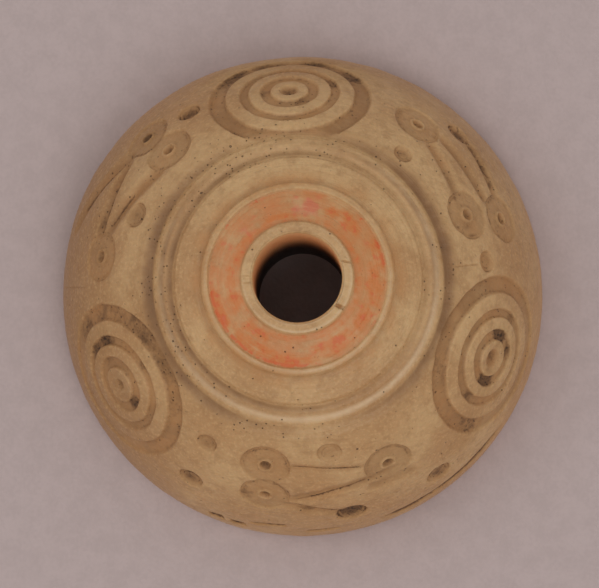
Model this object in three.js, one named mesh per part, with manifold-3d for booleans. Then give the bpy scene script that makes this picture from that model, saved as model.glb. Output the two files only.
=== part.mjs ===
// Bone spindle whorl: half a ball of turned bone with a straight bore through its axis.
// The top is turned in steps round a recessed band, three large compass-drawn ring marks
// sit on the flank, and the panels between them hold small linked ring-and-dot marks.
// Millimetres, +Z up along the bore, origin at the middle of the flat underside.

import * as THREE from "three";
import { mergeVertices } from "three/addons/utils/BufferGeometryUtils.js";
import Module from "manifold-3d";

// Body
const WHORL_RADIUS = 16.75;
const WIDEST_HEIGHT = 0.7;
const EDGE_INSET = 0.5;
const TOP_HEIGHT = 17.2;
const BORE_RADIUS = 3.05;
const BORE_CHAMFER = 0.12;

// Turned top: a flat land round the bore, then bands that follow the ball, each so far
// above it (+) or below it (-), and last the radius at which the plain flank begins.
const LAND_OUTER = 3.78;
const TURNED_BANDS = [
  { inner: 3.9, outer: 6.1, offset: -0.18 },
  { inner: 6.2, outer: 6.62, offset: 0.04 },
  { inner: 6.8, outer: 8.5, offset: -0.38 },
  { inner: 8.62, outer: 9.05, offset: -0.62 },
  { inner: 9.22, outer: 9.7, offset: -0.34 },
  { inner: 9.95, outer: 10.4, offset: -0.6 },
];
const FLANK_INNER = 10.62;

// Carved marks. Places on the dome are degrees round the bore and degrees down from the top.
const LARGE_MOTIFS = [
  { around: 93, down: 54 },
  { around: 208.5, down: 59 },
  { around: 339, down: 59.5 },
];
const LARGE_RINGS = [
  { radius: 1.77, width: 0.85, depth: 0.3 },
  { radius: 3.23, width: 0.7, depth: 0.28 },
  { radius: 5.04, width: 1.2, depth: 0.32 },
];
const LARGE_PIT = { radius: 0.4, depth: 0.35 };

// Each panel has two ring-and-dot marks one above the other, both joined by a straight cut
// to a third beside them, and a few plain dots.
const PANELS = [
  {
    pair: [{ around: 22.5, down: 48.5 }, { around: 19, down: 61.5 }],
    single: { around: 54, down: 56 },
    dots: [{ around: 7, down: 51 }, { around: 51, down: 43 }, { around: 44, down: 66.5 }],
  },
  {
    pair: [{ around: 134, down: 50.5 }, { around: 135.5, down: 61.5 }],
    single: { around: 171.5, down: 56 },
    dots: [{ around: 123, down: 57 }, { around: 157, down: 46.5 }],
  },
  {
    pair: [{ around: 259.5, down: 49.5 }, { around: 260.5, down: 60.5 }],
    single: { around: 296.5, down: 55 },
    dots: [
      { around: 240, down: 49 },
      { around: 240, down: 65 },
      { around: 280.5, down: 45.5 },
      { around: 283, down: 71 },
      { around: 307, down: 72 },
    ],
  },
];
const SMALL_RING = { radius: 1.32, width: 0.62, depth: 0.22 };
const SMALL_PIT = { radius: 0.3, depth: 0.25 };
const PLAIN_DOT = { radius: 0.62, depth: 0.22 };
const LINE_WIDTH = 0.22;
const LINE_DEPTH = 0.24;

// Fineness
const BODY_SIDES = 60;
const FLANK_STEPS = 6;
const EDGE_STEPS = 3;
const LARGE_RING_SIDES = 28;
const SMALL_RING_SIDES = 12;
const PIT_SIDES = 8;
const FLOOR_DRAFT = 0.1;
const CLEARANCE = 0.6;

const wasm = await Module();
wasm.setup();

// Turns a closed three.js geometry into a solid that can be cut.
function solidOf(geometry) {
  const bare = geometry.clone();
  bare.deleteAttribute("normal");
  bare.deleteAttribute("uv");
  const merged = mergeVertices(bare, 1e-5);
  const mesh = new wasm.Mesh({
    numProp: 3,
    vertProperties: Float32Array.from(merged.attributes.position.array),
    triVerts: Uint32Array.from(merged.index.array),
  });
  return new wasm.Manifold(mesh);
}

// Turns a cut solid back into a three.js geometry.
function geometryOf(solid) {
  const mesh = solid.getMesh();
  const geometry = new THREE.BufferGeometry();
  geometry.setAttribute("position", new THREE.BufferAttribute(mesh.vertProperties, 3));
  geometry.setIndex(new THREE.BufferAttribute(mesh.triVerts, 1));
  geometry.computeVertexNormals();
  return geometry;
}

// Revolves [radius, height] pairs about +Z, listed anticlockwise as seen in section.
function revolve(pairs, sides) {
  const points = pairs.map(([radius, height]) => new THREE.Vector2(radius, height));
  return new THREE.LatheGeometry(points, sides).rotateX(Math.PI / 2);
}

// Height of the ball that the dome follows, at a radius from the bore's axis.
function ballHeight(radius) {
  return WIDEST_HEIGHT + Math.sqrt(WHORL_RADIUS ** 2 - radius ** 2);
}

// Section of the body: underside, rounded lower edge, flank, turned bands, land and bore.
function bodySection() {
  const section = [[BORE_RADIUS, BORE_CHAMFER], [BORE_RADIUS + BORE_CHAMFER, 0]];
  for (let step = 0; step < EDGE_STEPS; step += 1) {
    const angle = (Math.PI / 2) * (step / EDGE_STEPS);
    const radius = WHORL_RADIUS - EDGE_INSET * (1 - Math.sin(angle));
    section.push([radius, WIDEST_HEIGHT * (1 - Math.cos(angle))]);
  }
  const flankTop = Math.acos(FLANK_INNER / WHORL_RADIUS);
  for (let step = 0; step <= FLANK_STEPS; step += 1) {
    const angle = flankTop * (step / FLANK_STEPS);
    section.push([WHORL_RADIUS * Math.cos(angle), WIDEST_HEIGHT + WHORL_RADIUS * Math.sin(angle)]);
  }
  for (const { inner, outer, offset } of [...TURNED_BANDS].reverse()) {
    section.push([outer, ballHeight(outer) + offset]);
    section.push([inner, ballHeight(inner) + offset]);
  }
  section.push([LAND_OUTER, TOP_HEIGHT]);
  section.push([BORE_RADIUS + BORE_CHAMFER, TOP_HEIGHT]);
  section.push([BORE_RADIUS, TOP_HEIGHT - BORE_CHAMFER]);
  section.push([BORE_RADIUS, BORE_CHAMFER]);
  return section;
}

// Point on the dome's ball.
function placeOnDome({ around, down }) {
  const place = new THREE.Vector3().setFromSphericalCoords(
    WHORL_RADIUS,
    THREE.MathUtils.degToRad(down),
    THREE.MathUtils.degToRad(around + 90),
  );
  place.applyAxisAngle(new THREE.Vector3(1, 0, 0), Math.PI / 2);
  return place.setZ(place.z + WIDEST_HEIGHT);
}

// Direction straight out of the dome at a place.
function outwardAt(place) {
  const centre = new THREE.Vector3(0, 0, WIDEST_HEIGHT);
  return placeOnDome(place).sub(centre).normalize();
}

// Stands a cutter that was made about +Z upright on the dome at a place.
function standOnDome(geometry, place) {
  const turn = new THREE.Quaternion().setFromUnitVectors(new THREE.Vector3(0, 0, 1), outwardAt(place));
  geometry.applyQuaternion(turn);
  const { x, y, z } = placeOnDome(place);
  return solidOf(geometry.translate(x, y, z));
}

// Cutter for a flat-floored groove, a little narrower below, that a compass draws round a place.
function ringCutter({ radius, width, depth }, sides, place) {
  const floorAt = (at) => Math.sqrt(WHORL_RADIUS ** 2 - at ** 2) - WHORL_RADIUS - depth;
  const inner = radius - width / 2;
  const outer = radius + width / 2;
  const draft = width * FLOOR_DRAFT;
  const section = [
    [inner + draft, floorAt(inner)],
    [outer - draft, floorAt(outer)],
    [outer + draft, CLEARANCE],
    [inner - draft, CLEARANCE],
    [inner + draft, floorAt(inner)],
  ];
  return standOnDome(revolve(section, sides), place);
}

// Cutter for a shallow pit with a pointed floor.
function pitCutter({ radius, depth }, place) {
  const section = [[0, -depth], [radius, 0], [radius, CLEARANCE], [0, CLEARANCE]];
  return standOnDome(revolve(section, PIT_SIDES), place);
}

// Cutter for the straight scored line between two ring marks, from rim to rim.
function lineCutter(start, end) {
  const centre = new THREE.Vector3(0, 0, WIDEST_HEIGHT);
  const span = placeOnDome(end).sub(placeOnDome(start));
  const outward = outwardAt(start).add(outwardAt(end)).normalize();
  const along = span.clone().normalize();
  const across = outward.clone().cross(along);
  const height = LINE_DEPTH + CLEARANCE;
  const box = new THREE.BoxGeometry(span.length() - 2 * SMALL_RING.radius, LINE_WIDTH, height);
  box.applyMatrix4(new THREE.Matrix4().makeBasis(along, across, outward));
  const { x, y, z } = centre.addScaledVector(outward, WHORL_RADIUS - LINE_DEPTH + height / 2);
  return solidOf(box.translate(x, y, z));
}

// Cutters of one large motif: three rings and the hole of the compass point.
function largeMotifCutters(place) {
  const rings = LARGE_RINGS.map((ring) => ringCutter(ring, LARGE_RING_SIDES, place));
  return [...rings, pitCutter(LARGE_PIT, place)];
}

// Cutters of one panel: ring-and-dot marks, the cuts that link them, and plain dots.
function panelCutters({ pair, single, dots }) {
  const marks = [...pair, single];
  return [
    ...marks.map((place) => ringCutter(SMALL_RING, SMALL_RING_SIDES, place)),
    ...marks.map((place) => pitCutter(SMALL_PIT, place)),
    ...pair.map((place) => lineCutter(place, single)),
    ...dots.map((place) => pitCutter(PLAIN_DOT, place)),
  ];
}

// The whole whorl, one carved piece.
function whorlGeometry() {
  let body = solidOf(revolve(bodySection(), BODY_SIDES));
  const cutters = [...LARGE_MOTIFS.flatMap(largeMotifCutters), ...PANELS.flatMap(panelCutters)];
  for (const cutter of cutters) {
    body = body.subtract(cutter);
  }
  return geometryOf(body);
}

const bone = new THREE.MeshStandardMaterial({ color: 0xb8925f, roughness: 0.5, metalness: 0 });
const whorl = new THREE.Mesh(whorlGeometry(), bone);
whorl.name = "whorl";

const group = new THREE.Group();
group.add(whorl);

export default group;
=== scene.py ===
"""Bone spindle whorl: the looks of one carved piece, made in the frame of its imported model.

The whorl is half a ball of turned bone with a straight bore. Its top is turned in steps round a recessed
band that still holds red paint. Three large ring marks, cut with a compass, sit on the flank, and
the panels between them hold small ring-and-dot marks joined by scored lines. Sizes are millimetres
until a mesh is made; the meshes are in metres.
"""

import logging
import math
from collections.abc import Callable
from dataclasses import dataclass, field
from enum import Enum

import bpy
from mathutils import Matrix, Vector


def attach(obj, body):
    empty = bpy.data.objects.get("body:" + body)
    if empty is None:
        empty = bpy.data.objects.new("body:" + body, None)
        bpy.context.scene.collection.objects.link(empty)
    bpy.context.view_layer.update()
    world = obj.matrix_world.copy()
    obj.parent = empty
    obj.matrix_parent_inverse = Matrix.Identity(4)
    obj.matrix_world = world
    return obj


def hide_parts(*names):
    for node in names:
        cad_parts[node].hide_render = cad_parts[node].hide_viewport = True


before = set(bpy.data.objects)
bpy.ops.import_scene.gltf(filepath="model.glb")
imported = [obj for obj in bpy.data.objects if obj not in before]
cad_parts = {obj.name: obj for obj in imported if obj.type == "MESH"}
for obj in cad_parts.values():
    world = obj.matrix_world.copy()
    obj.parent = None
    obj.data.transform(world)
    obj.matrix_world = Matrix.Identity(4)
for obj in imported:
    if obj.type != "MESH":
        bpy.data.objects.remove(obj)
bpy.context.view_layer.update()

log = logging.getLogger("whorl")

MM = 0.001
TINY = 0.01
NODE = "whorl"
BODY = "root"

Triple = tuple[float, float, float]


# ---- node trees


def _of_one(operation: str) -> Callable[["Field"], "Field"]:
    """A method of Field that adds one Math node over self."""

    def method(self: "Field") -> "Field":
        """Adds the node and returns its result."""
        return self._math(operation, self)

    return method


def _of_two(operation: str, swapped: bool = False) -> Callable[["Field", "Field | float"], "Field"]:
    """A method of Field that adds one Math node over self and another value, or swapped."""

    def method(self: "Field", other: "Field | float") -> "Field":
        """Adds the node and returns its result."""
        return self._math(operation, *((other, self) if swapped else (self, other)))

    return method


class Field:
    """A socket of a node tree that can stand in a sum; each operator adds one Math node."""

    def __init__(self, tree: "Tree", socket: bpy.types.NodeSocket) -> None:
        """Wraps a node's output socket.

        Args:
            tree: The tree that the socket's node belongs to.
            socket: The output socket.
        """
        self.tree = tree
        self.socket = socket

    def _math(self, operation: str, *values: "Field | float", clamp: bool = False) -> "Field":
        """Adds a Math node over values, in their order, and returns its result."""
        settings = {"operation": operation, "use_clamp": clamp}
        return self.tree.value("ShaderNodeMath", 0, settings, dict(enumerate(values)))

    __add__ = __radd__ = _of_two("ADD")
    __mul__ = __rmul__ = _of_two("MULTIPLY")
    __sub__, __rsub__ = _of_two("SUBTRACT"), _of_two("SUBTRACT", swapped=True)
    __truediv__ = _of_two("DIVIDE")
    __gt__, __lt__ = _of_two("GREATER_THAN"), _of_two("LESS_THAN")
    __abs__ = _of_one("ABSOLUTE")
    at_least = _of_two("MAXIMUM")
    floor = _of_one("FLOOR")
    root = _of_one("SQRT")
    sine, cosine = _of_one("SINE"), _of_one("COSINE")

    def held(self) -> "Field":
        """self kept between 0 and 1."""
        return self._math("ADD", self, 0.0, clamp=True)

    def rise(self, low: "Field | float", high: "Field | float") -> "Field":
        """0 below low and 1 above high, with a smooth step between them."""
        settings = {"interpolation_type": "SMOOTHSTEP", "clamp": True}
        values = {"Value": self, "From Min": low, "From Max": high, "To Min": 0.0, "To Max": 1.0}
        return self.tree.value("ShaderNodeMapRange", 0, settings, values)

    def fall(self, low: "Field | float", high: "Field | float") -> "Field":
        """1 below low and 0 above high, with a smooth step between them."""
        return 1.0 - self.rise(low, high)


class Arrow(Field):
    """A vector or colour socket; its sums are Vector Math nodes."""

    def _vector(self, operation: str, values: dict, output: int | str = 0) -> bpy.types.NodeSocket:
        """Adds a Vector Math node over self and values, and returns one of its outputs."""
        node = self.tree.add("ShaderNodeVectorMath", {"operation": operation}, {0: self, **values})
        return node.outputs[output]

    def minus(self, other: "Field | Triple") -> "Arrow":
        """self - other."""
        return Arrow(self.tree, self._vector("SUBTRACT", {1: other}))

    def times(self, factor: "Field | float") -> "Arrow":
        """self with every part multiplied by one factor."""
        return Arrow(self.tree, self._vector("SCALE", {"Scale": factor}))

    def stretched(self, factors: Triple) -> "Arrow":
        """self with each part multiplied by its own factor."""
        return Arrow(self.tree, self._vector("MULTIPLY", {1: factors}))

    def dot(self, other: "Field | Triple") -> Field:
        """Dot product of the two."""
        return Field(self.tree, self._vector("DOT_PRODUCT", {1: other}, "Value"))

    def cross(self, other: "Field | Triple") -> "Arrow":
        """Cross product of the two."""
        return Arrow(self.tree, self._vector("CROSS_PRODUCT", {1: other}))

    def length(self) -> Field:
        """Length of the vector."""
        return Field(self.tree, self._vector("LENGTH", {}, "Value"))

    def unit(self) -> "Arrow":
        """self brought to length 1."""
        return Arrow(self.tree, self._vector("NORMALIZE", {}))

    def parts(self) -> tuple[Field, Field, Field]:
        """The vector's three parts."""
        node = self.tree.add("ShaderNodeSeparateXYZ", {}, {0: self})
        return tuple(Field(self.tree, output) for output in node.outputs)


class Tree:
    """A geometry or shader node tree, with the few node forms that the whorl needs."""

    def __init__(self, tree: bpy.types.NodeTree) -> None:
        """Wraps a tree and clears it."""
        self.tree = tree
        self.tree.nodes.clear()

    @classmethod
    def geometry(cls, name: str) -> "Tree":
        """A new geometry node group."""
        return cls(bpy.data.node_groups.new(name, "GeometryNodeTree"))

    @classmethod
    def material(cls, name: str) -> tuple[bpy.types.Material, "Tree"]:
        """A new material and its tree."""
        made = bpy.data.materials.new(name)
        made.use_nodes = True
        return made, cls(made.node_tree)

    def add(self, kind: str, settings: dict | None = None, values: dict | None = None) -> bpy.types.Node:
        """Adds a node, sets it up, then fills its sockets.

        Args:
            kind: The node's type.
            settings: Its own settings.
            values: A number, colour or Field for each socket, by name or by place.

        Returns:
            The node.
        """
        node = self.tree.nodes.new(kind)
        for name, setting in (settings or {}).items():
            setattr(node, name, setting)
        for key, value in (values or {}).items():
            if isinstance(value, Field):
                self.tree.links.new(value.socket, node.inputs[key])
            else:
                node.inputs[key].default_value = value
        return node

    def value(self, kind: str, output: int | str, settings: dict | None = None,
              values: dict | None = None) -> Field:
        """Adds a node and returns one of its outputs as a value."""
        return Field(self, self.add(kind, settings, values).outputs[output])

    def arrow(self, kind: str, output: int | str, settings: dict | None = None,
              values: dict | None = None) -> Arrow:
        """Adds a node and returns one of its outputs as a vector or colour."""
        return Arrow(self, self.add(kind, settings, values).outputs[output])

    def onto(self, kind: str, geometry: Field, **values: object) -> Field:
        """Adds a node that changes a geometry, and returns what comes out of it."""
        return self.value(f"GeometryNode{kind}", 0, {}, {0: geometry, **values})

    def shaded(self, values: dict, settings: dict | None = None) -> None:
        """Ends a material's tree in a Principled shader."""
        shader = self.value("ShaderNodeBsdfPrincipled", 0, settings, values)
        self.add("ShaderNodeOutputMaterial", {}, {"Surface": shader})

    def combine(self, x: Field | float, y: Field | float, z: Field | float) -> Arrow:
        """A vector from its three parts."""
        return self.arrow("ShaderNodeCombineXYZ", 0, {}, {0: x, 1: y, 2: z})

    def noise(self, place: Arrow, scale: float, detail: float, seed: float = 0.0) -> Field:
        """Noise about 0.5.

        Args:
            place: Where it is read, in millimetres.
            scale: Features for each millimetre.
            detail: Number of finer octaves.
            seed: Picks the pattern.

        Returns:
            A value from 0 to 1.
        """
        values = {"Vector": place, "W": seed, "Scale": scale, "Detail": detail}
        return self.value("ShaderNodeTexNoise", 0, {"noise_dimensions": "4D"}, values)

    def specks(self, place: Arrow, scale: float, size: float, share: "Field | float") -> Field:
        """Scattered round spots.

        Args:
            place: Where they are read, in millimetres.
            scale: Cells for each millimetre, with at most one spot in each.
            size: Radius of a spot, as a share of a cell.
            share: Share of the cells that hold a spot.

        Returns:
            1 on a spot and 0 off it.
        """
        node = self.add("ShaderNodeTexVoronoi", {}, {"Vector": place, "Scale": scale})
        chance, own_size, _ = Arrow(self, node.outputs["Color"]).parts()
        reach = (own_size * 0.6 + 0.4) * size
        return Field(self, node.outputs["Distance"]).fall(reach * 0.5, reach) * (chance < share)

    def mix(self, share: Field | float, first: Field | Triple, second: Field | Triple) -> Arrow:
        """One colour turned into another by a share from 0 to 1."""
        colours = [value if isinstance(value, Field) else (*value, 1.0) for value in (first, second)]
        return self.arrow("ShaderNodeMix", 2, {"data_type": "RGBA"}, {0: share, 6: colours[0], 7: colours[1]})

    def input(self, name: str, value: float | int | Triple | None = None) -> Field:
        """Adds a named input to a node group and returns it as a value, a vector or a geometry.

        Args:
            name: The input's name.
            value: Its default, which also sets its kind; None makes it a geometry.

        Returns:
            The group's side of the input.
        """
        kinds = {type(None): "NodeSocketGeometry", int: "NodeSocketInt", float: "NodeSocketFloat"}
        kind = kinds.get(type(value), "NodeSocketVector")
        socket = self.tree.interface.new_socket(name, in_out="INPUT", socket_type=kind)
        if value is not None:
            socket.default_value = value
        output = self.add("NodeGroupInput").outputs[name]
        return Arrow(self, output) if kind == "NodeSocketVector" else Field(self, output)

    def outputs(self, values: dict[str, Field], kind: str = "NodeSocketFloat") -> None:
        """Adds a node group's named outputs, all of one kind, and fills them."""
        for name in values:
            self.tree.interface.new_socket(name, in_out="OUTPUT", socket_type=kind)
        self.add("NodeGroupOutput", {}, values)


class Polar:
    """A point's place about the bore: its parts, and its distance from the bore's axis."""

    def __init__(self, place: Arrow) -> None:
        """Takes a place apart."""
        self.x, self.y, self.height = place.parts()
        self.radius = (self.x * self.x + self.y * self.y).root()

    def toward(self, degrees: float) -> Field:
        """1 on the side of the whorl that faces a direction, and -1 on the far side."""
        turn = math.radians(degrees)
        return (self.x * math.cos(turn) + self.y * math.sin(turn)) / (self.radius + TINY)


# ---- cuts in the dome


@dataclass(frozen=True)
class Place:
    """A spot on the dome: degrees round the bore from +X, and degrees down from the top."""

    around: float
    down: float

    def outward(self) -> Vector:
        """Direction from the middle of the ball through the spot."""
        around, down = math.radians(self.around), math.radians(self.down)
        flat = math.sin(down)
        return Vector((flat * math.cos(around), flat * math.sin(around), math.cos(down)))

    def downhill(self) -> Vector:
        """Direction along the dome from the spot towards the rim."""
        return Place(self.around, self.down + 90.0).outward()


class CutShape(Enum):
    """The forms of cut that the marks are made of."""

    GROOVE = "Compass groove"
    PIT = "Round pit"
    SCORE = "Scored line"

    def build(self) -> bpy.types.NodeTree:
        """The node group that gives this cut's depth and its dirt at a point of the dome."""
        tree = Tree.geometry(self.value)
        place, waver = tree.input("Place", (0.0, 0.0, 0.0)), tree.input("Waver", 0.0)
        depth, dirt = tree.input("Depth", 0.1), tree.input("Dirt", 0.0)
        forms = {CutShape.GROOVE: self._groove, CutShape.PIT: self._pit, CutShape.SCORE: self._score}
        form, soiled = forms[self](tree, place, waver)
        tree.outputs({"Cut": form * depth, "Dirt": soiled * dirt})
        return tree.tree

    @staticmethod
    def _groove(tree: Tree, place: Arrow, waver: Field) -> tuple[Field, Field]:
        """A groove with a nearly flat floor round the pivot, worn away on its downhill side."""
        pivot, downhill = tree.input("Pivot", (0.0, 0.0, 1.0)), tree.input("Downhill", (1.0, 0.0, 0.0))
        radius, width, worn = tree.input("Radius", 1.0), tree.input("Width", 1.0), tree.input("Worn", 0.0)
        along = place.dot(pivot)
        spoke = place.minus(pivot.times(along))
        from_axis = spoke.length() + waver * 0.18
        off_middle = abs(from_axis - radius)
        half, soft = width * 0.5, width * 0.06 + 0.06
        floor = off_middle.fall(half - soft, half + soft)
        kept = 1.0 - (spoke.dot(downhill) / (from_axis + TINY)).rise(-0.1, 0.9) * worn
        form = floor * kept * (1.0 + waver * 0.35) * (along > 0.0)
        foot = 0.28 + 0.9 * off_middle.rise(half * 0.3, half * 0.9)
        return form, foot * off_middle.fall(half * 0.8, half * 1.25) * kept * (along > 0.0)

    @staticmethod
    def _pit(tree: Tree, place: Arrow, waver: Field) -> tuple[Field, Field]:
        """A bowl at the pivot."""
        pivot, radius = tree.input("Pivot", (0.0, 0.0, 1.0)), tree.input("Radius", 1.0)
        along = place.dot(pivot)
        from_axis = place.minus(pivot.times(along)).length() * (1.0 + waver * 0.25)
        form = from_axis.fall(radius * 0.5, radius * 1.1) * (along > 0.0)
        return form, from_axis.fall(0.0, radius * 1.25) * (along > 0.0)

    @staticmethod
    def _score(tree: Tree, place: Arrow, waver: Field) -> tuple[Field, Field]:
        """A cut along the shortest way over the ball between two spots, fading at both ends."""
        start, end = tree.input("Start", (1.0, 0.0, 0.0)), tree.input("End", (0.0, 1.0, 0.0))
        width = tree.input("Width", 0.2)
        span = end.minus(start)
        way = place.minus(start).dot(span) / span.dot(span)
        off_line = abs(place.dot(start.cross(end).unit()) + waver * 0.05)
        ends = way.rise(-0.04, 0.14) * way.fall(0.86, 1.04)
        form = off_line.fall(0.0, width * 0.6) * ends
        return form, form


class Carving:
    """Gathers the cuts of a node tree: how deep they go and how dirty they are."""

    def __init__(self, tree: Tree, place: Arrow, waver: Field) -> None:
        """Starts with an uncut dome.

        Args:
            tree: The tree that carves the body.
            place: The point from the middle of the ball, in millimetres.
            waver: Slow noise about 0 that makes the cuts uneven.
        """
        self.tree = tree
        self.shared = {"Place": place, "Waver": waver}
        self.shapes = {shape: shape.build() for shape in CutShape}
        self.depth = waver * 0.0
        self.dirt = waver * 0.0

    def cut(self, shape: CutShape, **sizes: float | Vector) -> None:
        """Adds one cut; where cuts cross, the deeper and the dirtier one wins."""
        own = {name.capitalize(): size for name, size in sizes.items()}
        node = self.tree.add("GeometryNodeGroup", {"node_tree": self.shapes[shape]}, {**self.shared, **own})
        self.depth = Field(self.tree, node.outputs["Cut"]).at_least(self.depth)
        self.dirt = Field(self.tree, node.outputs["Dirt"]).at_least(self.dirt)


@dataclass(frozen=True)
class Groove:
    """A compass-drawn groove."""

    radius: float
    width: float
    depth: float
    dirt: float
    worn: float

    def carve(self, carving: Carving, place: Place) -> None:
        """Cuts the groove round a place."""
        carving.cut(CutShape.GROOVE, pivot=place.outward(), downhill=place.downhill(), radius=self.radius,
                    width=self.width, depth=self.depth, dirt=self.dirt, worn=self.worn)


@dataclass(frozen=True)
class Pit:
    """A round hollow."""

    radius: float
    depth: float
    dirt: float

    def carve(self, carving: Carving, place: Place) -> None:
        """Sinks the pit at a place."""
        carving.cut(CutShape.PIT, pivot=place.outward(), radius=self.radius, depth=self.depth, dirt=self.dirt)


@dataclass(frozen=True)
class Score:
    """A straight cut between two places."""

    start: Place
    end: Place
    width: float
    depth: float
    dirt: float

    def carve(self, carving: Carving, ball: float) -> None:
        """Cuts the line on a ball of a radius."""
        carving.cut(CutShape.SCORE, start=self.start.outward() * ball, end=self.end.outward() * ball,
                    width=self.width, depth=self.depth, dirt=self.dirt)


@dataclass(frozen=True)
class Smudge:
    """A spot where dirt has settled."""

    place: Place
    radius: float
    strength: float

    def carve(self, carving: Carving) -> None:
        """Soils the spot without cutting it."""
        Pit(self.radius, 0.0, self.strength).carve(carving, self.place)


@dataclass(frozen=True)
class LargeMotif:
    """Three worn grooves round the hole that the compass point left, with dirt caught in places."""

    place: Place
    grooves: tuple[Groove, ...]
    pits: tuple[Pit, ...]
    smudges: tuple[Smudge, ...]

    def carve(self, carving: Carving) -> None:
        """Cuts the whole motif."""
        for cut in self.grooves + self.pits:
            cut.carve(carving, self.place)
        for smudge in self.smudges:
            smudge.carve(carving)


@dataclass(frozen=True)
class Panel:
    """Ring-and-dot marks, the wide gouges and fine lines that join them, and small dots about them."""

    rings: tuple[Place, ...]
    gouges: tuple[Score, ...]
    lines: tuple[Score, ...]
    dots: tuple[tuple[Place, Pit], ...]
    smudges: tuple[Smudge, ...]
    groove: Groove = Groove(1.13, 1.16, 0.14, 0.4, 0.3)
    edge: Groove = Groove(1.62, 0.26, 0.16, 0.8, 0.6)
    eye: Pit = Pit(0.48, 0.28, 1.1)

    def carve(self, carving: Carving, ball: float) -> None:
        """Cuts the whole panel on a ball of a radius."""
        for ring in self.rings:
            for cut in (self.groove, self.edge, self.eye):
                cut.carve(carving, ring)
        for score in self.gouges + self.lines:
            score.carve(carving, ball)
        for place, pit in self.dots:
            pit.carve(carving, place)
            Groove(pit.radius * 0.75, 0.34, pit.depth + 0.03, pit.dirt + 0.2, 0.6).carve(carving, place)
        for smudge in self.smudges:
            smudge.carve(carving)


# ---- the turned and carved body


@dataclass(frozen=True)
class TurnedStep:
    """A step of the turned top: beyond a radius the surface stands at a new level against the ball."""

    radius: float
    level: float
    softness: float = 0.07


@dataclass(frozen=True)
class Corner:
    """A ring of old dirt and painted shade in a low corner of the turned top, or of wear and painted
    highlight on a high one.
    """

    radius: float
    inward: float
    outward: float
    strength: float
    both_sides: bool = False


@dataclass(frozen=True)
class TurnedBody:
    """The ball, the bore and the flat underside, in millimetres."""

    radius: float = 16.75
    widest: float = 0.7
    edge_inset: float = 0.5
    top: float = 17.2
    bore: float = 3.05
    bore_chamfer: float = 0.12
    land: float = 3.8
    # Side where the outer steps are worn lower; it faces the key light, and the crests are painted paler
    # there as a highlight.
    worn_and_lit_side: float = -65.0
    swollen_side: float = 137.0
    swelling: float = 0.01
    steps: tuple[TurnedStep, ...] = (
        TurnedStep(3.88, -0.2, 0.06),
        TurnedStep(6.14, 0.03, 0.06),
        TurnedStep(6.62, -0.4, 0.08),
        TurnedStep(8.47, -0.68, 0.06),
        TurnedStep(9.15, -0.36, 0.3),
        TurnedStep(9.87, -0.54, 0.16),
        TurnedStep(10.45, 0.0, 0.55),
    )
    # Rings of dirt and painted shade in the low corners.
    corners: tuple[Corner, ...] = (
        Corner(6.05, 0.1, 0.1, 0.35),
        Corner(6.78, 0.2, 0.45, 0.6),
        Corner(8.72, 0.25, 0.7, 1.05),
        Corner(9.35, 0.3, 0.5, 0.95, both_sides=True),
        Corner(10.08, 0.25, 1.3, 1.45, both_sides=True),
    )
    # Pale rings of wear and painted highlight on the crests.
    crests: tuple[Corner, ...] = (
        Corner(3.16, 0.1, 0.2, 0.7),
        Corner(3.72, 0.2, 0.08, 0.7),
        Corner(6.34, 0.16, 0.2, 0.7),
        Corner(9.5, 0.35, 0.3, 0.8),
    )

    def section(self) -> tuple[list[tuple[float, float]], tuple[int, int]]:
        """The closed half section, from the foot of the bore out, up over the dome and down the bore.

        Returns:
            The points as (radius, height), and the first and last of them that are on the dome.
        """
        inner = self.bore + self.bore_chamfer
        foot = self.radius - self.edge_inset
        points = _line((self.bore, self.bore_chamfer), (inner, 0.0), 2)
        points += _line((inner, 0.0), (foot, 0.0), 60)
        points += _arc((foot, self.widest), (self.edge_inset, self.widest), -90.0, 0.0, 14)
        first = len(points)
        last_angle = math.degrees(math.acos(inner / self.radius))
        points += _arc((0.0, self.widest), (self.radius, self.radius), 0.0, last_angle, 340)
        last = len(points) - 1
        points += _line((inner, self.top), (self.bore, self.top - self.bore_chamfer), 2)
        points += _line((self.bore, self.top - self.bore_chamfer), (self.bore, self.bore_chamfer), 40)
        points.append(points[0])
        return points, (first, last)


def _line(start: tuple[float, float], end: tuple[float, float], count: int) -> list[tuple[float, float]]:
    """Evenly spaced points from start up to, and without, end."""
    shares = [k / count for k in range(count)]
    return [(start[0] + (end[0] - start[0]) * s, start[1] + (end[1] - start[1]) * s) for s in shares]


def _arc(centre: tuple[float, float], radii: tuple[float, float], first: float, last: float,
         count: int) -> list[tuple[float, float]]:
    """Evenly spaced points on an ellipse's arc, angles in degrees, up to and without the last one."""
    angles = [math.radians(first + (last - first) * k / count) for k in range(count)]
    return [(centre[0] + radii[0] * math.cos(a), centre[1] + radii[1] * math.sin(a)) for a in angles]


def _large_grooves(worn: float) -> tuple[Groove, ...]:
    """The three grooves of a large motif, the outer ones worn most."""
    return (
        Groove(1.68, 0.7, 0.22, 0.45, worn * 0.3),
        Groove(3.18, 0.56, 0.22, 0.45, worn * 0.5),
        Groove(5.05, 1.06, 0.25, 0.45, worn),
    )


def _scores(*rows: tuple[float, ...]) -> tuple[Score, ...]:
    """Straight cuts, from the degrees round and down of both ends, then width, depth and dirt."""
    return tuple(Score(Place(*row[:2]), Place(*row[2:4]), *row[4:]) for row in rows)


def _dots(*rows: tuple[float, ...]) -> tuple[tuple[Place, Pit], ...]:
    """Single pits, from their degrees round and down, then radius, depth and dirt."""
    return tuple((Place(*row[:2]), Pit(*row[2:])) for row in rows)


def _smudges(*rows: tuple[float, ...]) -> tuple[Smudge, ...]:
    """Spots of dirt, from their degrees round and down, then radius and strength."""
    return tuple(Smudge(Place(*row[:2]), *row[2:]) for row in rows)


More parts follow.
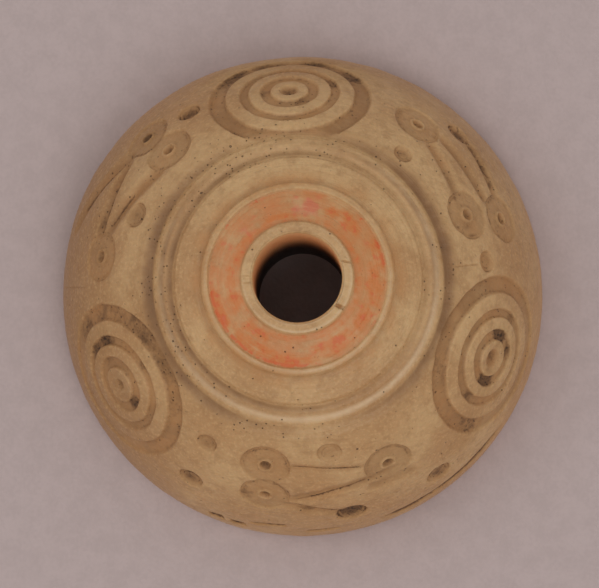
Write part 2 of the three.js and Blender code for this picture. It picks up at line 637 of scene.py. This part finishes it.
MOTIFS: tuple[LargeMotif, ...] = (
    LargeMotif(
        Place(93.0, 54.0), _large_grooves(0.1), (Pit(0.7, 0.26, 1.1),),
        _smudges(
            (107.0, 68.5, 2.8, 1.2), (99.0, 71.0, 2.2, 1.1), (86.0, 71.5, 2.2, 1.3),
            (77.5, 66.0, 2.6, 1.1), (81.3, 59.3, 1.0, 1.3), (101.0, 54.0, 0.9, 0.9),
            (89.0, 49.5, 1.0, 0.9), (114.0, 48.5, 1.2, 0.6),
        ),
    ),
    LargeMotif(
        Place(208.5, 58.0), _large_grooves(0.5), (Pit(1.3, 0.1, 0.12), Pit(0.5, 0.26, 1.0)),
        _smudges(
            (195.0, 56.5, 1.3, 1.9), (196.5, 62.0, 1.7, 1.2), (200.5, 58.4, 0.7, 1.0),
            (208.2, 46.5, 0.8, 1.0), (215.8, 57.0, 1.0, 1.3), (191.0, 65.0, 1.8, 1.2),
            (188.0, 54.0, 3.0, 0.8), (191.0, 44.5, 2.4, 0.75), (200.0, 43.0, 2.6, 0.8),
            (211.0, 41.5, 2.4, 0.8), (225.0, 46.0, 1.6, 0.6),
        ),
    ),
    LargeMotif(
        Place(339.6, 58.2), _large_grooves(0.45), (Pit(1.3, 0.08, 0.1), Pit(0.8, 0.3, 1.0)),
        _smudges(
            (332.9, 59.5, 1.3, 1.9), (346.2, 58.5, 1.1, 1.8), (343.5, 64.0, 1.1, 1.1),
            (352.0, 62.6, 0.8, 1.0), (327.0, 56.0, 1.0, 0.9), (320.3, 65.0, 2.2, 0.9),
            (329.0, 42.5, 1.4, 0.7),
        ),
    ),
)

PANELS: tuple[Panel, ...] = (
    Panel(
        rings=(Place(22.5, 48.5), Place(19.0, 61.5), Place(54.0, 56.0)),
        gouges=_scores(
            (49.0, 53.0, 28.0, 48.0, 1.2, 0.22, 0.35), (48.0, 58.0, 23.0, 57.5, 1.1, 0.24, 0.35),
            (42.0, 67.0, 24.0, 62.5, 1.0, 0.2, 0.35),
        ),
        lines=_scores(
            (46.4, 51.6, 31.0, 47.8, 0.2, 0.26, 0.35), (44.9, 56.7, 28.0, 56.5, 0.26, 0.3, 0.8),
            (40.5, 65.2, 30.0, 64.9, 0.5, 0.28, 1.0),
        ),
        dots=_dots(
            (7.0, 51.0, 0.74, 0.2, 0.6), (51.0, 43.0, 0.66, 0.16, 0.5), (44.5, 66.5, 0.95, 0.24, 1.2),
        ),
        smudges=_smudges(
            (39.0, 66.0, 1.1, 1.2), (34.0, 65.2, 1.1, 1.2), (29.0, 64.0, 1.0, 1.0),
            (20.0, 47.0, 1.0, 0.6), (17.0, 60.0, 1.1, 0.6),
        ),
    ),
    Panel(
        rings=(Place(134.0, 50.5), Place(135.5, 61.5), Place(171.5, 56.0)),
        gouges=_scores(
            (168.0, 58.0, 141.0, 61.0, 1.2, 0.3, 0.35), (166.0, 76.0, 139.0, 60.5, 1.5, 0.32, 0.35),
            (166.0, 56.0, 138.0, 47.0, 1.5, 0.28, 0.35),
        ),
        lines=_scores(
            (165.5, 58.2, 143.0, 60.2, 0.28, 0.38, 0.9), (160.6, 73.6, 144.0, 62.4, 0.3, 0.38, 1.0),
            (162.7, 54.8, 151.0, 50.8, 0.3, 0.36, 1.2),
        ),
        dots=_dots(
            (122.5, 58.0, 0.84, 0.26, 1.3), (157.0, 46.5, 0.95, 0.18, 0.6),
        ),
        smudges=_smudges(
            (135.5, 61.5, 0.75, 2.2), (171.5, 56.0, 1.2, 0.8), (163.0, 60.0, 1.5, 0.9),
            (150.0, 58.5, 1.6, 0.7),
        ),
    ),
    Panel(
        rings=(Place(259.5, 49.5), Place(260.5, 60.5), Place(296.5, 55.0)),
        gouges=_scores(
            (265.0, 48.8, 291.0, 53.0, 0.8, 0.12, 0.35), (265.0, 61.5, 301.0, 57.5, 1.2, 0.18, 0.35),
            (264.0, 63.0, 282.0, 70.0, 1.1, 0.16, 0.35), (288.0, 61.0, 303.0, 61.5, 1.3, 0.14, 0.35),
        ),
        lines=_scores(
            (267.0, 48.6, 290.0, 52.9, 0.18, 0.2, 1.3), (268.0, 61.8, 290.6, 57.5, 0.24, 0.24, 1.1),
            (268.0, 63.0, 280.3, 69.0, 0.3, 0.26, 1.3),
        ),
        dots=_dots(
            (240.0, 49.0, 0.76, 0.16, 0.7), (240.0, 65.0, 0.95, 0.2, 0.8), (280.3, 45.3, 0.9, 0.1, 0.6),
            (283.0, 71.0, 1.15, 0.32, 1.9), (307.0, 71.5, 1.05, 0.2, 0.9),
        ),
        smudges=_smudges(
            (259.5, 49.5, 0.7, 1.0), (255.0, 62.0, 1.0, 0.9), (272.0, 65.5, 1.0, 1.1),
            (299.0, 59.0, 1.3, 0.6),
        ),
    ),
)

# Old nicks, scratches and cracks, and last a painted shadow line along the lower-right rim.
DAMAGE_AND_RIM_SHADOW: tuple[Score, ...] = _scores(
    (23.0, 10.4, 15.0, 13.3, 0.16, 0.12, 0.1), (-36.0, 10.2, -33.0, 13.6, 0.34, 0.25, 0.15),
    (178.0, 10.5, 178.0, 13.0, 0.12, 0.05, 0.1), (186.0, 10.5, 186.0, 13.0, 0.12, 0.05, 0.1),
    (5.1, 38.0, 6.2, 48.1, 0.13, 0.08, 0.45), (178.6, 80.0, 180.0, 61.0, 0.13, 0.08, 0.4),
    (257.0, 78.0, 266.5, 76.5, 0.6, 0.16, 2.0), (247.0, 82.5, 251.0, 81.5, 1.3, 0.3, 2.4),
    (252.5, 82.5, 256.5, 81.8, 1.2, 0.3, 2.4), (271.0, 81.5, 279.5, 81.0, 0.8, 0.14, 1.4),
    # Painted shadow line: a shallow cut along the lower-right rim, darkened where the whorl meets the paper.
    (289.0, 82.5, 327.0, 82.5, 1.3, 0.14, 1.7),
)


@dataclass
class Whorl:
    """The whole whorl: turned body, large motifs, panels, old nicks, scratches and cracks, and a painted
    shadow line at the rim.
    """

    body: TurnedBody = field(default_factory=TurnedBody)
    around_steps: int = 1440
    triangles: int = 190000
    motifs: tuple[LargeMotif, ...] = MOTIFS
    panels: tuple[Panel, ...] = PANELS
    damage_and_rim_shadow: tuple[Score, ...] = DAMAGE_AND_RIM_SHADOW

    def build(self, material: bpy.types.Material) -> bpy.types.Object:
        """Makes the carved mesh and gives it its material.

        Args:
            material: The bone finish.

        Returns:
            The finished piece, under its own name and with its place in its mesh.
        """
        points, dome_rows = self.body.section()
        mesh = bpy.data.meshes.new("whorl_section")
        mesh.from_pydata([(radius, 0.0, height) for radius, height in points], [], [])
        section = _placed("whorl_section", mesh)
        tree = self._tree(material)
        modifier = section.modifiers.new("body", "NODES")
        modifier.node_group = tree
        sizes = {"Rows": len(points), "Around": self.around_steps}
        sizes |= {"First row": dome_rows[0], "Last row": dome_rows[1]}
        for item in tree.interface.items_tree:
            if item.name in sizes:
                modifier[item.identifier] = sizes[item.name]
        return self._finished(section)

    def _finished(self, section: bpy.types.Object) -> bpy.types.Object:
        """Turns the evaluated body into a plain mesh, thinned where the surface is smooth."""
        dense = _applied(section, "whorl_dense")
        bpy.data.objects.remove(section)
        thin = dense.modifiers.new("thin", "DECIMATE")
        thin.ratio = min(1.0, self.triangles / sum(len(face.vertices) - 2 for face in dense.data.polygons))
        piece = _applied(dense, "whorl_bone")
        bpy.data.objects.remove(dense)
        return piece

    def _tree(self, material: bpy.types.Material) -> bpy.types.NodeTree:
        """The tree that revolves the section and carves it."""
        tree = Tree.geometry("Whorl body")
        section = tree.input("Section")
        rows, around = tree.input("Rows", 2), tree.input("Around", 3)
        first, last = tree.input("First row", 0), tree.input("Last row", 1)
        shape = {"Vertices X": rows, "Vertices Y": around + 1.0}
        grid = tree.value("GeometryNodeMeshGrid", "Mesh", {}, shape)
        index = tree.value("GeometryNodeInputIndex", 0)
        row = ((index + 0.5) / (around + 1.0)).floor()
        turn = (index - row * (around + 1.0)) / around * (2.0 * math.pi)
        spot = tree.arrow("GeometryNodeInputPosition", 0)
        sample = {"Geometry": section, "Value": spot, "Index": row}
        profile = tree.arrow("GeometryNodeSampleIndex", 0, {"data_type": "FLOAT_VECTOR"}, sample)
        radius, _, height = profile.parts()
        place = tree.combine(radius * turn.cosine(), radius * turn.sine(), height)
        revolved = tree.onto("SetPosition", grid, Position=place)
        on_dome = (row > first - 0.5) * (last + 0.5 > row)
        marked = tree.onto("StoreNamedAttribute", revolved, Name="dome", Value=on_dome)
        merged = tree.onto("MergeByDistance", marked, Distance=0.0005)
        carved = self._carve(tree, tree.onto("FlipFaces", merged))
        scaled = tree.onto("Transform", carved, Scale=(MM, MM, MM))
        real = tree.onto("RealizeInstances", tree.onto("SetShadeSmooth", scaled))
        tree.outputs({"Geometry": tree.onto("SetMaterial", real, Material=material)}, "NodeSocketGeometry")
        return tree.tree

    def _carve(self, tree: Tree, geometry: Field) -> Field:
        """Turns the steps of the top, cuts the marks and stores how deep and dirty each point is."""
        spot = tree.arrow("GeometryNodeInputPosition", 0)
        at = Polar(spot)
        dome = tree.value("GeometryNodeInputNamedAttribute", 0, {"data_type": "FLOAT"}, {"Name": "dome"})
        waver = tree.noise(spot, 0.45, 2.0) * 2.0 - 1.0
        fine_waver = tree.noise(spot, 1.1, 3.0, 7.0) * 2.0 - 1.0
        level = self._turned_level(tree, at, waver)
        place = spot.minus((0.0, 0.0, self.body.widest))
        carving = self._marks(tree, place, waver * 0.6 + fine_waver * 0.4)
        sunk = (carving.depth - (0.0 - level).at_least(0.0)).at_least(0.0)
        coloured = sunk.at_least(carving.depth * at.radius.rise(9.9, 10.4))
        stored = tree.onto("StoreNamedAttribute", geometry, Name="cut_depth", Value=coloured * dome)
        stored = tree.onto("StoreNamedAttribute", stored, Name="dirt", Value=carving.dirt * dome)
        lift = tree.combine(0.0, 0.0, (level + self._landing(at)) * dome)
        turned = tree.onto("SetPosition", stored, Offset=lift)
        handmade = waver * 0.06 + fine_waver * 0.03 - sunk
        carved = tree.onto("SetPosition", turned, Offset=place.unit().times(handmade * dome))
        return tree.onto("SetPosition", carved, Offset=self._swelling(tree))

    def _landing(self, at: Polar) -> Field:
        """How far the flat land round the bore stands above the ball."""
        return at.radius.fall(self.body.land, self.body.land + 0.1) * (self.body.top - at.height)

    def _turned_level(self, tree: Tree, at: Polar, waver: Field) -> Field:
        """How far the turned top lies above (+) or below (-) the ball."""
        uneven = at.radius + waver * 0.05
        level, height = 0.0, at.radius * 0.0
        for step in self.body.steps:
            edge = uneven.rise(step.radius - step.softness, step.radius + step.softness)
            height = height + edge * (step.level - level)
            level = step.level
        worn = at.toward(self.body.worn_and_lit_side).rise(0.2, 1.0) * at.radius.rise(9.2, 9.9) * 0.5
        rings = tree.noise(tree.combine(at.radius, 0.0, 0.0), 3.5, 3.0, 2.0) * 0.08 - 0.04
        cleared = at.radius.rise(self.body.land, self.body.land + 0.2)
        return height * (1.0 - worn) * (1.0 + waver * 0.12) + rings * at.radius.fall(9.8, 11.0) * cleared

    def _swelling(self, tree: Tree) -> Arrow:
        """Pushes one side of the flank out a little, because the whorl isn't quite round."""
        at = Polar(tree.arrow("GeometryNodeInputPosition", 0))
        side = at.toward(self.body.swollen_side).rise(0.75, 1.0)
        share = side * at.radius.rise(8.0, self.body.radius - 0.25) * self.body.swelling
        return tree.combine(at.x * share, at.y * share, 0.0)

    def _marks(self, tree: Tree, place: Arrow, waver: Field) -> Carving:
        """Cuts every mark, the old nicks, scratches and cracks, and the painted shadow line at the rim."""
        carving = Carving(tree, place, waver)
        for motif in self.motifs:
            motif.carve(carving)
        for panel in self.panels:
            panel.carve(carving, self.body.radius)
        for cut_line in self.damage_and_rim_shadow:
            cut_line.carve(carving, self.body.radius)
        return carving


def _placed(name: str, data: bpy.types.ID) -> bpy.types.Object:
    """A new object of the scene, at its origin."""
    made = bpy.data.objects.new(name, data)
    bpy.context.scene.collection.objects.link(made)
    return made


def _applied(source: bpy.types.Object, name: str) -> bpy.types.Object:
    """A new object whose plain mesh is the source with its modifiers applied."""
    graph = bpy.context.evaluated_depsgraph_get()
    mesh = bpy.data.meshes.new_from_object(source.evaluated_get(graph))
    mesh.name = name
    return _placed(name, mesh)


# ---- finishes


class Grain(Enum):
    """The noise patterns of the bone: features for each millimetre, finer octaves and seed."""

    CLOUDS = (0.2, 4.0, 1.0)
    FIBRES = (1.0, 4.0, 2.0)
    MOTTLE = (1.1, 5.0, 3.0)
    UNEVEN_STAIN = (0.7, 4.0, 4.0)
    THIN_PAINT = (0.7, 4.0, 6.0)
    PAINT_FLECKS = (1.9, 5.0, 7.0)
    CLOTS = (3.0, 4.0, 8.0)
    GLOSS = (1.3, 3.0, 9.0)
    WEAR = (2.5, 5.0, 10.0)
    PALE_FLECKS = (4.5, 3.0, 12.0)
    CRESTS = (1.5, 3.0, 13.0)
    CRUMBS = (4.0, 4.0, 14.0)
    PORE_CROWDS = (0.5, 2.0, 15.0)
    WARM_BONE = (0.3, 3.0, 16.0)
    DULL_BONE = (3.2, 4.0, 17.0)
    DIRT = (0.9, 3.0, 18.0)
    WARM_CUTS = (0.4, 3.0, 19.0)
    BROWN_PAINT = (0.9, 3.0, 20.0)
    PAINTED_LIP = (2.5, 4.0, 21.0)


class Surface(Polar):
    """The measures of a point of the whorl that its finish is built from, in millimetres."""

    def __init__(self, tree: Tree) -> None:
        """Reads the point's place and what the carving stored on it."""
        self.tree = tree
        self.place = tree.arrow("ShaderNodeTexCoord", "Object").times(1.0 / MM)
        super().__init__(self.place)
        self.cut, self.dirt, self.top = (
            tree.value("ShaderNodeAttribute", "Fac", {"attribute_name": name})
            for name in ("cut_depth", "dirt", "dome")
        )

    def near(self, around: float, out: float, span: float, reach: float) -> Field:
        """1 at a spot of the top, falling to 0 a span of degrees round from it and a reach in or out."""
        side = self.toward(around).rise(math.cos(math.radians(span)), 1.0)
        return side * abs(self.radius - out).fall(0.0, reach)

    def grain(self, pattern: Grain, stretch: Triple = (1.0, 1.0, 1.0)) -> Field:
        """A noise pattern over the whorl, stretched along its axes."""
        return self.tree.noise(self.place.stretched(stretch), *pattern.value)

    def fibres(self) -> Field:
        """Noise drawn out along X, the way that the bone grew."""
        return self.grain(Grain.FIBRES, (0.3, 3.0, 3.0))

    def turning(self) -> Field:
        """Noise drawn out along the lathe's way round."""
        ring = self.tree.combine(self.radius, self.toward(0.0) * 0.35, self.toward(90.0) * 0.35)
        return self.tree.noise(ring, 4.0, 4.0, 5.0)


@dataclass(frozen=True)
class PaintPatch:
    """A stretch of the recessed band where more red paint is left: its middle, half span and reach."""

    around: float
    out: float
    span: float
    reach: float


@dataclass(frozen=True)
class BoneFinish:
    """Old handled bone: honey coloured, dirty in the cuts, with worn red paint on the recessed band."""

    body: TurnedBody
    shaded_side: float = 185.0
    pale: Triple = (0.72, 0.45, 0.21)
    honey: Triple = (0.58, 0.32, 0.135)
    light: Triple = (0.86, 0.54, 0.255)
    # Pale cream of wear, and of painted highlight on the crests.
    cream_and_highlight: Triple = (0.8, 0.55, 0.32)
    # Brown stain, also used as painted shade on the low flank and in the low corners.
    stain_and_shade: Triple = (0.4, 0.2, 0.075)
    # Dark grime, also used as painted shade in the low corners.
    grime_and_shade: Triple = (0.11, 0.047, 0.017)
    black: Triple = (0.02, 0.011, 0.005)
    # Wall of the bore near its mouth; deeper down it fades to black as painted shade.
    bore: Triple = (0.8, 0.42, 0.19)
    paint: Triple = (0.7, 0.25, 0.08)
    amber: Triple = (0.62, 0.29, 0.1)
    orange: Triple = (0.74, 0.2, 0.035)
    red: Triple = (0.74, 0.13, 0.03)
    rose: Triple = (0.75, 0.2, 0.11)
    patches: tuple[PaintPatch, ...] = tuple(PaintPatch(*row) for row in (
        (203.0, 5.8, 22.0, 0.6), (236.0, 5.5, 26.0, 0.8), (266.0, 5.7, 28.0, 0.7),
        (152.0, 4.3, 24.0, 0.7), (190.0, 4.5, 26.0, 0.6), (232.0, 4.6, 18.0, 0.6),
        (300.0, 5.2, 24.0, 0.9), (328.0, 5.2, 16.0, 0.7), (356.0, 5.3, 24.0, 0.9),
        (17.0, 5.7, 14.0, 0.6), (52.0, 5.2, 20.0, 0.8), (108.0, 4.4, 16.0, 0.5),
    ))

    def material(self) -> bpy.types.Material:
        """Makes the bone material."""
        material, tree = Tree.material("bone")
        at = Surface(tree)
        pores = self._pores(at)
        colour = self._soiled(at, self._painted(at, self._stained(at, self._bone(at))), pores)
        values = {
            "Base Color": self._bored(at, colour),
            "Roughness": 0.34 + 0.22 * at.grain(Grain.GLOSS) + 0.3 * at.dirt.held(),
            "IOR": 1.5,
            "Subsurface Weight": 0.1,
            "Subsurface Radius": (1.0, 0.55, 0.3),
            "Subsurface Scale": 0.5 * MM,
            "Normal": self._relief(at, pores),
        }
        tree.shaded(values, {"subsurface_method": "RANDOM_WALK"})
        return material

    def _bone(self, at: Surface) -> Arrow:
        """The bone's tone: cloudy, darker low on the flank, with fine fibres along X; with painted light,
        paler towards 60 degrees round, and painted shade on the low flank away from the key light.
        """
        low = at.height.fall(5.0, 14.5)
        # Painted light: the tone is paler towards 60 degrees round.
        clouds = at.grain(Grain.CLOUDS) + at.toward(60.0) * 0.06 - low * 0.09
        colour = at.tree.mix(clouds.rise(0.32, 0.62), self.honey, self.pale)
        warm = at.grain(Grain.WARM_BONE).rise(0.56, 0.72)
        colour = at.tree.mix(warm * (0.1 + 0.2 * low), colour, self.amber)
        fibres = at.fibres().rise(0.5, 0.72)
        colour = at.tree.mix(fibres * (0.12 + 0.3 * low), colour, self.stain_and_shade)
        mottle = at.grain(Grain.MOTTLE).rise(0.46, 0.7)
        colour = at.tree.mix(mottle * 0.4, colour, self.stain_and_shade)
        dull = at.grain(Grain.DULL_BONE).rise(0.5, 0.68)
        colour = at.tree.mix(dull * 0.2, colour, self.stain_and_shade)
        # Painted shade: the low flank darkens on the side away from the key light, and also towards
        # shaded_side.
        shaded = at.toward(self.shaded_side).rise(0.4, 1.0) * 0.7 + (0.5 - 0.5 * at.toward(-85.0)) * 0.3
        colour = at.tree.mix(low * shaded, colour, self.stain_and_shade)
        foot = at.height.fall(0.5, 5.0) * at.toward(40.0).rise(-0.5, 0.3)
        colour = at.tree.mix(foot * 0.5, colour, self.amber)
        flecks = at.grain(Grain.PALE_FLECKS).rise(0.5, 0.66)
        return at.tree.mix(flecks * 0.3, colour, self.light)

    @staticmethod
    def _ring(at: Surface, ring: Corner) -> Field:
        """1 along a ring of the turned top, falling to 0 inside and outside it."""
        inner = at.radius.rise(ring.radius - ring.inward, ring.radius)
        return inner * at.radius.fall(ring.radius, ring.radius + ring.outward) * at.top * ring.strength

    def _stained(self, at: Surface, colour: Arrow) -> Arrow:
        """Browns the floors of the cuts; darkens the low corners of the turned top with dirt and painted
        shade, more on some sides; and pales its crests with wear and painted highlight, most on the side that
        faces the key light.
        """
        uneven = at.grain(Grain.UNEVEN_STAIN)
        floors = (at.cut / 0.26).held() * (0.3 + 1.1 * uneven)
        warmth = at.grain(Grain.WARM_CUTS).rise(0.42, 0.6)
        colour = at.tree.mix(floors.held(), colour, at.tree.mix(warmth * 0.5, self.stain_and_shade, self.amber))
        # Painted shade with dirt: the low corners darken, more on the shaded side for some corners and on two
        # opposite sides for others.
        one_side, both_sides = 0.66 + 0.32 * at.toward(self.shaded_side), 0.12 + 0.83 * abs(at.toward(8.0))
        for corner in self.body.corners:
            side = both_sides if corner.both_sides else one_side
            share = self._ring(at, corner) * side * (0.35 + uneven)
            colour = at.tree.mix(share.held(), colour, self.stain_and_shade)
            colour = at.tree.mix((share - 0.4).held() * 0.55, colour, self.grime_and_shade)
        # Wear and painted highlight: the crests pale most on the side that faces the key light.
        for crest in self.body.crests:
            worn = at.grain(Grain.CRESTS) - 0.05 + 0.5 * at.toward(self.body.worn_and_lit_side)
            colour = at.tree.mix((self._ring(at, crest) * worn).held(), colour, self.cream_and_highlight)
        return colour

    def _painted(self, at: Surface, colour: Arrow) -> Arrow:
        """Leaves paint on the recessed band, thin on the whole and red where it is thick."""
        band = at.radius.rise(3.8, 3.98) * at.radius.fall(5.95, 6.2) * at.top
        streaks = at.turning()
        clouds = at.grain(Grain.THIN_PAINT)
        thin = (streaks * 0.3 + clouds * 0.85).rise(0.42, 0.74)
        colour = at.tree.mix(band * (0.27 + 0.6 * thin), colour, self.paint)
        browned = at.toward(20.0).rise(0.1, 0.9) * at.grain(Grain.BROWN_PAINT).rise(0.35, 0.6)
        colour = at.tree.mix(band * browned * 0.45, colour, self.amber)
        thick = at.radius.rise(3.85, 4.05) * at.radius.fall(4.2, 4.6) * 0.4
        for patch in self.patches:
            thick = at.near(patch.around, patch.out, patch.span, patch.reach).at_least(thick)
        flecks = at.grain(Grain.PAINT_FLECKS) * 0.85 + streaks * 0.15
        colour = at.tree.mix(band * (thick * 0.35 + flecks).rise(0.5, 0.8) * 0.6, colour, self.orange)
        colour = at.tree.mix(band * (thick * 0.15 + flecks).rise(0.64, 0.74) * 0.6, colour, self.red)
        lip = at.radius.rise(5.75, 5.9) * (thick * 0.3 + at.grain(Grain.PAINTED_LIP)).rise(0.62, 0.7)
        colour = at.tree.mix(band * lip * 0.7, colour, self.red)
        bloom = at.near(83.0, 4.9, 15.0, 1.2).at_least(at.near(136.0, 4.8, 12.0, 0.8) * 0.6)
        colour = at.tree.mix(band * (bloom * 0.3 + flecks).rise(0.56, 0.8) * 0.7, colour, self.rose)
        bare = (1.0 - streaks * 0.3 - clouds * 0.8).rise(0.46, 0.62)
        colour = at.tree.mix(band * bare * 0.4, colour, self.pale)
        halo = at.radius.rise(6.1, 6.5) * at.radius.fall(6.9, 7.9) * at.top
        return at.tree.mix(halo * clouds.rise(0.3, 0.65) * 0.6, colour, self.amber)

    def _soiled(self, at: Surface, colour: Arrow, pores: Field) -> Arrow:
        """Puts dark dirt where the carving caught it, and fills the pores."""
        clots = at.grain(Grain.CLOTS)
        hollow = 0.25 + 0.75 * (at.cut / 0.18).held()
        dirt = (at.dirt * hollow * (at.grain(Grain.DIRT) * 1.6 - 0.05)).held()
        colour = at.tree.mix((dirt * (0.6 + clots)).held() * 0.85, colour, self.stain_and_shade)
        share = (dirt * 0.8 + clots - 0.66).rise(0.0, 0.7) * dirt.rise(0.0, 0.4)
        colour = at.tree.mix(share * 0.75, colour, self.grime_and_shade)
        crumbs = (dirt * 0.16 + at.grain(Grain.CRUMBS)).rise(0.65, 0.82)
        colour = at.tree.mix(crumbs * 0.8, colour, self.grime_and_shade)
        return at.tree.mix((pores * 0.6).at_least(crumbs * dirt * 0.6), colour, self.black)

    def _pores(self, at: Surface) -> Field:
        """Small dirty pores, most of them in the low rings and on the shaded side."""
        rings = at.radius.rise(8.0, 8.8) * at.radius.fall(10.6, 11.6)
        side = at.toward(170.0).rise(-0.6, 0.6)
        thick = at.grain(Grain.PORE_CROWDS).rise(0.35, 0.6)
        share = 0.03 + 0.9 * rings * (0.15 + side) * thick + 0.35 * (at.cut / 0.2).held() * thick
        fine = at.tree.specks(at.place, 3.6, 0.28, share)
        coarse = at.tree.specks(at.place, 1.5, 0.15, share * 0.35)
        under = at.tree.specks(at.place, 1.6, 0.32, 0.3) * (1.0 - at.top) * at.radius.rise(4.0, 6.0)
        return fine.at_least(coarse).at_least(under * at.height.fall(0.2, 0.5)).held()

    def _bored(self, at: Surface, colour: Arrow) -> Arrow:
        """Darkens the bore, from brown near its mouth to black inside, the black being painted shade."""
        inside = at.radius.fall(self.body.bore + 0.02, self.body.bore + 0.1)
        # Painted shade: the wall fades to black deeper down the bore.
        wall = at.tree.mix(at.height.rise(4.0, 13.0), self.black, self.bore)
        return at.tree.mix(inside * at.height.fall(16.9, 17.1), colour, wall)

    def _relief(self, at: Surface, pores: Field) -> Arrow:
        """Fine surface relief: fibres, turning lines, wear and pores."""
        fibres = at.fibres()
        wear = at.grain(Grain.WEAR)
        lines = at.turning() * at.radius.fall(10.0, 12.0) * at.top
        height = fibres * 0.5 + wear * 0.9 + lines * 0.9 - pores * 1.2
        return at.tree.arrow("ShaderNodeBump", 0, {}, {"Distance": 0.09 * MM, "Height": height})


@dataclass(frozen=True)
class PaperFinish:
    """Pale lilac-grey paper."""

    pale: Triple = (0.62, 0.5, 0.485)
    dull: Triple = (0.57, 0.46, 0.445)

    def material(self) -> bpy.types.Material:
        """Makes the paper material."""
        material, tree = Tree.material("paper")
        place = tree.arrow("ShaderNodeTexCoord", "Object").times(1.0 / MM)
        pulp = tree.noise(place, 0.8, 5.0, 1.0) * 0.55 + tree.noise(place, 3.5, 3.0, 2.0) * 0.45
        normal = tree.arrow("ShaderNodeBump", 0, {}, {"Distance": 0.05 * MM, "Height": pulp})
        colour = tree.mix(pulp.rise(0.36, 0.64), self.dull, self.pale)
        tree.shaded({"Base Color": colour, "Roughness": 0.9, "Normal": normal})
        return material


# ---- studio


@dataclass(frozen=True)
class SoftLight:
    """A square soft box, placed round the whorl and facing it."""

    name: str
    around: float
    above: float
    distance: float
    side: float
    power: float

    def build(self) -> None:
        """Adds the light."""
        data = bpy.data.lights.new(self.name, "AREA")
        data.size = self.side
        data.energy = self.power
        light = _placed(self.name, data)
        away = Place(self.around, 90.0 - self.above).outward()
        light.location = away * self.distance
        light.rotation_mode = "QUATERNION"
        light.rotation_quaternion = away.to_track_quat("Z", "Y")
        light.visible_camera = False


@dataclass(frozen=True)
class Studio:
    """Floor, soft light and the camera that looks down on the whorl, a little off its axis."""

    aim_height: float
    floor_side: float = 6.0
    camera_tilt: float = 4.7
    camera_side: float = -73.0
    camera_distance: float = 0.55
    frame_width: float = 41.93 * MM
    aside: tuple[float, float] = (-0.238 * MM, 0.179 * MM)
    ambient: float = 0.46
    lights: tuple[SoftLight, ...] = (
        SoftLight("key", -62.0, 63.0, 0.6, 0.26, 0.54),
        SoftLight("side", 170.0, 60.0, 0.6, 0.3, 0.32),
    )

    def build(self) -> None:
        """Adds the floor, the light and the camera."""
        self._floor()
        self._camera()
        for light in self.lights:
            light.build()
        self._world()

    def _floor(self) -> None:
        """Lays the paper that the whorl stands on."""
        half = self.floor_side / 2
        sides = ((-half, -half), (half, -half), (half, half), (-half, half))
        mesh = bpy.data.meshes.new("floor")
        mesh.from_pydata([(x, y, 0.0) for x, y in sides], [], [(0, 1, 2, 3)])
        mesh.materials.append(PaperFinish().material())
        _placed("floor", mesh)

    def _camera(self) -> None:
        """Stands the camera over the whorl."""
        data = bpy.data.cameras.new("camera")
        data.sensor_width = 36.0
        data.lens = data.sensor_width * self.camera_distance / self.frame_width
        data.clip_start = 0.01
        camera = _placed("camera", data)
        back = Place(self.camera_side, self.camera_tilt).outward()
        turn = Vector((0.0, 0.0, 1.0)).rotation_difference(back)
        aim = Vector((0.0, 0.0, self.aim_height * MM)) + turn @ Vector((*self.aside, 0.0))
        camera.location = aim + back * self.camera_distance
        camera.rotation_mode = "QUATERNION"
        camera.rotation_quaternion = turn
        bpy.context.scene.camera = camera

    def _world(self) -> None:
        """Fills the shadows with an even pale light, and keeps colours as they are mixed."""
        world = bpy.data.worlds.new("world")
        world.use_nodes = True
        background = world.node_tree.nodes["Background"]
        background.inputs["Color"].default_value = (1.0, 0.99, 0.98, 1.0)
        background.inputs["Strength"].default_value = self.ambient
        bpy.context.scene.world = world
        bpy.context.scene.view_settings.view_transform = "Standard"


def main() -> None:
    """Builds the studio and the whorl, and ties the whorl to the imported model."""
    logging.basicConfig(level=logging.INFO, format="%(name)s: %(message)s")
    whorl = Whorl()
    Studio(whorl.body.widest).build()
    piece = whorl.build(BoneFinish(whorl.body).material())
    log.info("%s: %d vertices, %d faces", piece.name, len(piece.data.vertices), len(piece.data.polygons))
    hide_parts(NODE)
    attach(piece, BODY)


if __name__ == "__main__":
    main()
